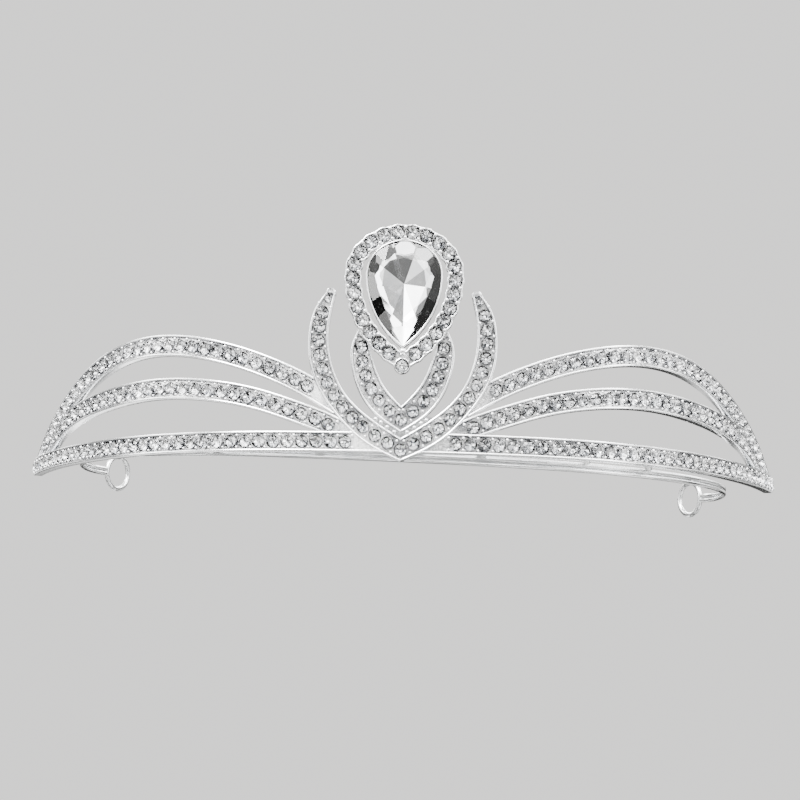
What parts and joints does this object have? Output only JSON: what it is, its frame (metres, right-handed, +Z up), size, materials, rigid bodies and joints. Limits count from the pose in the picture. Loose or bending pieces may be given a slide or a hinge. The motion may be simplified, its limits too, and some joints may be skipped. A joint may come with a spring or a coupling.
{
  "type": "bridal tiara",
  "caption": "Bridal tiara of plated cast arms set with round crystals, a teardrop halo round a pear crystal, and a wire headband with pin eyes.",
  "frame": {"origin": "under the middle of the tiara's bounding box, at the height of its lowest point, the right pin eye's lower edge", "axes": "+Z up as worn, -Y out of the ornament's front, +X towards the right of a person who faces the ornament; X = 0 is the ornament's middle"},
  "size_m": [0.1466, 0.0702, 0.0429],
  "materials": {
    "plated_casting": "polished silver-tone plating over cast alloy",
    "plated_wire": "silver-tone plating on drawn wire",
    "plated_setting": "bright polished plating",
    "plated_beads": "bright polished plating",
    "solder": "plated solder, slightly dull",
    "round_crystal": "faceted clear crystal, foiled back",
    "pear_crystal": "faceted clear crystal"
  },
  "bodies": {
    "root": {"drop_collet": "plated_setting", "drop_stone": "round_crystal", "gusset_beads": "plated_beads", "gusset_plate": "plated_casting", "halo_stones": "round_crystal", "inner_crescent": "plated_casting", "inner_crescent_stones": "round_crystal", "left_base_arm": "plated_casting", "left_base_arm_stones": "round_crystal", "left_middle_arm": "plated_casting", "left_middle_arm_stones": "round_crystal", "left_pin_eye": "plated_wire", "left_upper_arm": "plated_casting", "left_upper_arm_stones": "round_crystal", "link_bead": "plated_beads", "lower_headband_wire": "plated_wire", "outer_crescent": "plated_casting", "outer_crescent_stones": "round_crystal", "pear_bezel": "plated_setting", "pear_crystal": "pear_crystal", "right_base_arm": "plated_casting", "right_base_arm_stones": "round_crystal", "right_middle_arm": "plated_casting", "right_middle_arm_stones": "round_crystal", "right_pin_eye": "plated_wire", "right_upper_arm": "plated_casting", "right_upper_arm_stones": "round_crystal", "solder_joints": "solder", "teardrop_halo": "plated_casting", "upper_headband_wire": "plated_wire"}
  },
  "joints": []
}
